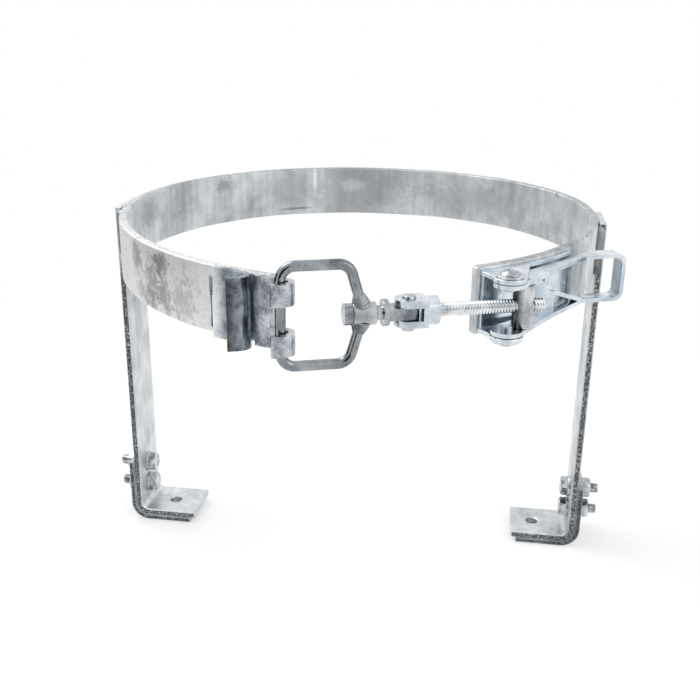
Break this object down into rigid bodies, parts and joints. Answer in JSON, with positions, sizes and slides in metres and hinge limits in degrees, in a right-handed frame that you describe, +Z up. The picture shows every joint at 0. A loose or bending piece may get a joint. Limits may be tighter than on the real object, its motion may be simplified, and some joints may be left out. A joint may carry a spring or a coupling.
{
  "type": "gas cylinder bracket",
  "caption": "Galvanised steel gas cylinder bracket: a flat-bar ring on bolted legs, closed by an adjustable over-centre toggle latch with a wire bail.",
  "frame": {"origin": "on the floor, under the ring's axis", "axes": "+Z up along the ring's axis, legs near the X axis, latch on the -Y side"},
  "size_m": [0.3785, 0.3832, 0.267],
  "materials": {
    "ring_galvanising": "hot-dip galvanised, streaked and dull",
    "leg_galvanising": "hot-dip galvanised, mottled, dark rough edges",
    "angle_galvanising": "hot-dip galvanised, dull",
    "weld_bead": "galvanised weld bead, rough",
    "bolt_zinc": "zinc plated, satin",
    "washer_zinc": "zinc plated, satin",
    "catch_zinc": "blue zinc plate, mottled",
    "latch_zinc": "blue zinc plate, satin",
    "rivet_zinc": "zinc plated, rubbed",
    "trunnion_steel": "turned steel, zinc plated",
    "rod_zinc": "zinc plated thread",
    "fork_zinc": "blue zinc plate, satin",
    "stud_steel": "turned steel, zinc plated",
    "barrel_steel": "turned steel, dull zinc",
    "wire_galvanising": "dull galvanised wire"
  },
  "bodies": {
    "bracket": {"ring": "ring_galvanising", "left_leg": "leg_galvanising", "right_leg": "leg_galvanising", "left_foot_angle": "angle_galvanising", "right_foot_angle": "angle_galvanising", "left_leg_welds": "weld_bead", "right_leg_welds": "weld_bead", "leg_bolts": "bolt_zinc", "leg_washers": "washer_zinc", "leg_nuts": "bolt_zinc", "reach_hook": "catch_zinc", "bail_hooks": "catch_zinc", "catch_welds": "weld_bead", "latch_base": "latch_zinc", "base_welds": "weld_bead", "pivot_rivets": "rivet_zinc", "pivot_washers": "washer_zinc"},
    "lever": {"lever": "latch_zinc"},
    "trunnion": {"trunnion": "trunnion_steel"},
    "rod": {"threaded_rod": "rod_zinc", "fork": "fork_zinc", "clevis_pin": "rivet_zinc", "clevis_washer": "washer_zinc"},
    "stud": {"swivel_stud": "stud_steel"},
    "bail": {"swivel_barrel": "barrel_steel", "bail": "wire_galvanising", "bail_welds": "weld_bead"}
  },
  "joints": [
    {"name": "lever_swing", "type": "hinge", "parent": "bracket", "child": "lever", "pos_m": [0.10341, -0.16381, 0.236], "axis": [0, 0, -1], "range_deg": [0, 110]},
    {"name": "trunnion_turn", "type": "hinge", "parent": "lever", "child": "trunnion", "pos_m": [0.11188, -0.1568, 0.236], "axis": [0, 0, 1], "range_deg": [0, 110]},
    {"name": "rod_reach", "type": "slide", "parent": "trunnion", "child": "rod", "axis": [-0.9388, -0.3445, 0], "range_m": [0, 0.006]},
    {"name": "clevis_turn", "type": "hinge", "parent": "rod", "child": "stud", "pos_m": [0.04981, -0.17958, 0.236], "axis": [0, 0, -1], "range_deg": [0, 15.7]},
    {"name": "swivel_turn", "type": "hinge", "parent": "stud", "child": "bail", "pos_m": [0.02634, -0.18819, 0.236], "axis": [0.9388, 0.3445, 0], "range_deg": [-2, 2]}
  ],
  "couplings": [
    {"joint": "trunnion_turn", "follows": "lever_swing", "ratio": 1},
    {"joint": "clevis_turn", "follows": "lever_swing", "ratio": 0.142}
  ]
}
